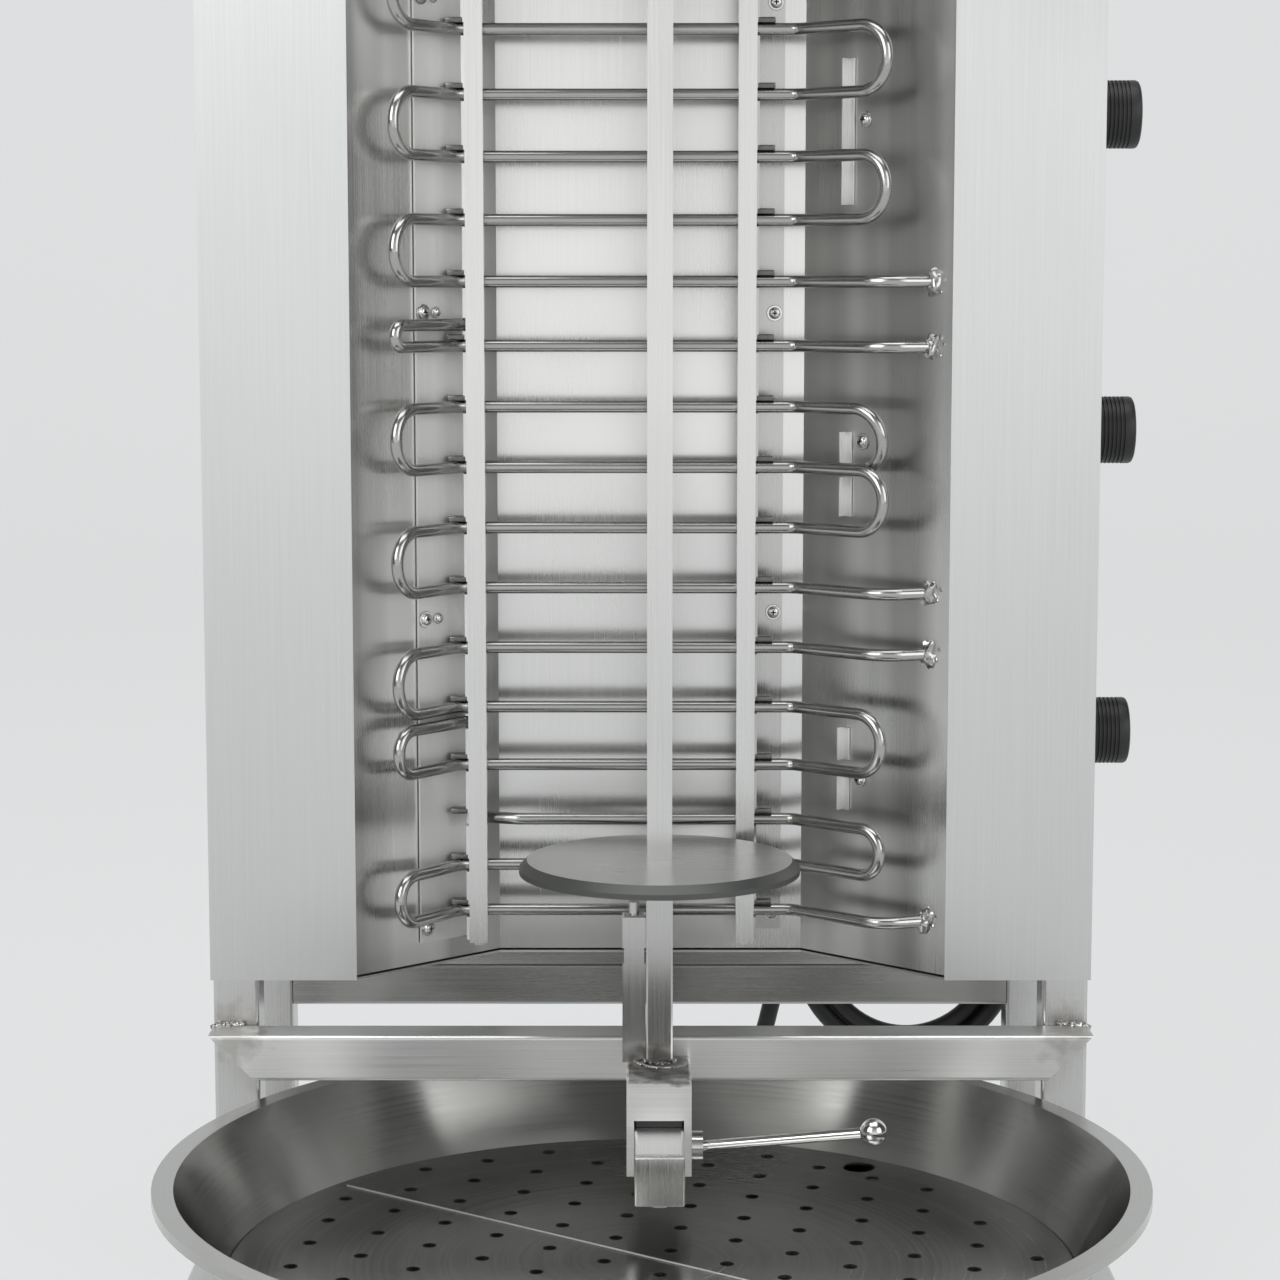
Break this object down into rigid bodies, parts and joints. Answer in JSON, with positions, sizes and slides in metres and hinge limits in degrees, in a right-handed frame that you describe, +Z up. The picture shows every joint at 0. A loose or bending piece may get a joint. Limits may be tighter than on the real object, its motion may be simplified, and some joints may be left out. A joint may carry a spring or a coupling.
{
  "type": "electric doner kebab grill",
  "caption": "Table-top electric doner grill: upright heated cabinet, turning spit on a sliding carriage, round drip pan with a split strainer.",
  "frame": {"origin": "on the table, under the middle of the part's box measured without its power cord", "axes": "+Z up, the open front of the recess faces -Y, the knobs are at +X"},
  "size_m": [0.6172, 0.7605, 1.0321],
  "materials": {
    "steel_tube": "brushed along the tube",
    "steel_sheet": "vertical brushed grain",
    "reflector": "bright, fine vertical grain",
    "element": "satin, drawn tube",
    "bracket": "sheared and brushed",
    "carriage": "ground and brushed",
    "bright_steel": "turned and polished",
    "pan_steel": "spun and polished",
    "brass": "turned",
    "black_plastic": "fine matt",
    "rubber": "matt",
    "motor_paint": "satin"
  },
  "bodies": {
    "frame": {"arm_bolt": "bracket", "arm_spacer": "steel_tube", "back_cover": "steel_sheet", "back_reflector": "reflector", "base_crossbars": "steel_tube", "base_rail_left": "steel_tube", "base_rail_right": "steel_tube", "bottom_plate": "steel_sheet", "cable_gland": "black_plastic", "cord_coil": "rubber", "cord_hook": "bracket", "cord_tail": "rubber", "feet": "rubber", "front_crossbar": "steel_tube", "front_leg_left": "steel_tube", "front_leg_right": "steel_tube", "guard_bar_left": "bracket", "guard_bar_right": "bracket", "heating_element_lower": "element", "heating_element_middle": "element", "heating_element_upper": "element", "panel_screws": "bracket", "plug": "rubber", "rear_crossbar": "steel_tube", "rear_leg_left": "steel_tube", "rear_leg_right": "steel_tube", "reflector_wing_left": "reflector", "reflector_wing_right": "reflector", "rotary_switches": "black_plastic", "side_panel_left": "steel_sheet", "side_panel_right": "steel_sheet", "slide_arm": "steel_tube", "support_comb_left": "bracket", "support_comb_right": "bracket", "terminal_box": "steel_sheet", "terminal_collars": "bracket", "top_plate": "steel_sheet", "top_rails": "steel_tube"},
    "carriage": {"carriage_saddle": "carriage", "wear_pad": "black_plastic", "bearing_post": "carriage", "thrust_ring": "brass", "steady_post": "carriage", "steady_head": "carriage"},
    "lever": {"clamp_lever": "carriage", "lever_ball": "bright_steel"},
    "spit": {"spit_bar": "bright_steel", "meat_disc": "bright_steel"},
    "drive_carriage": {"motor_plate": "steel_sheet", "gear_case": "steel_sheet", "gear_motor": "motor_paint"},
    "socket": {"drive_socket": "bright_steel", "output_gear": "bright_steel"},
    "pinion": {"motor_pinion": "bright_steel"},
    "upper_knob": {"knob_upper": "black_plastic"},
    "middle_knob": {"knob_middle": "black_plastic"},
    "lower_knob": {"knob_lower": "black_plastic"},
    "pan": {"drip_pan": "pan_steel"},
    "rear_strainer": {"strainer_rear": "pan_steel"},
    "front_strainer": {"strainer_front": "pan_steel"}
  },
  "joints": [
    {"name": "carriage_slide", "type": "slide", "parent": "frame", "child": "carriage", "axis": [0, -1, 0], "range_m": [0, 0.05]},
    {"name": "spit_spin", "type": "hinge", "parent": "carriage", "child": "spit", "pos_m": [-0.00315, 0.0525, 0.2873], "axis": [0, 0, 1], "continuous": true},
    {"name": "lever_turn", "type": "hinge", "parent": "carriage", "child": "lever", "pos_m": [0.01685, 0.0122, 0.1198], "axis": [1, 0, 0], "range_deg": [-90, 30]},
    {"name": "drive_slide", "type": "slide", "parent": "frame", "child": "drive_carriage", "axis": [0, -1, 0], "range_m": [0, 0.05]},
    {"name": "socket_spin", "type": "hinge", "parent": "drive_carriage", "child": "socket", "pos_m": [-0.00315, 0.0525, 0.9023], "axis": [0, 0, 1], "continuous": true},
    {"name": "pinion_spin", "type": "hinge", "parent": "drive_carriage", "child": "pinion", "pos_m": [-0.00315, 0.09, 0.9323], "axis": [0, 0, 1], "continuous": true},
    {"name": "pan_slide", "type": "slide", "parent": "frame", "child": "pan", "axis": [0, -1, 0], "range_m": [0, 0.1]},
    {"name": "rear_strainer_lift", "type": "slide", "parent": "pan", "child": "rear_strainer", "axis": [0, 0, 1], "range_m": [0, 0.012]},
    {"name": "front_strainer_lift", "type": "slide", "parent": "pan", "child": "front_strainer", "axis": [0, 0, 1], "range_m": [0, 0.012]},
    {"name": "upper_knob_turn", "type": "hinge", "parent": "frame", "child": "upper_knob", "pos_m": [0.28135, 0.1415, 0.7723], "axis": [1, 0, 0], "range_deg": [0, 270]},
    {"name": "middle_knob_turn", "type": "hinge", "parent": "frame", "child": "middle_knob", "pos_m": [0.28135, 0.1415, 0.5673], "axis": [1, 0, 0], "range_deg": [0, 270]},
    {"name": "lower_knob_turn", "type": "hinge", "parent": "frame", "child": "lower_knob", "pos_m": [0.28135, 0.1415, 0.3673], "axis": [1, 0, 0], "range_deg": [0, 270]}
  ],
  "couplings": [
    {"joint": "drive_slide", "follows": "carriage_slide", "ratio": 1},
    {"joint": "socket_spin", "follows": "spit_spin", "ratio": 1},
    {"joint": "pinion_spin", "follows": "spit_spin", "ratio": -4}
  ]
}
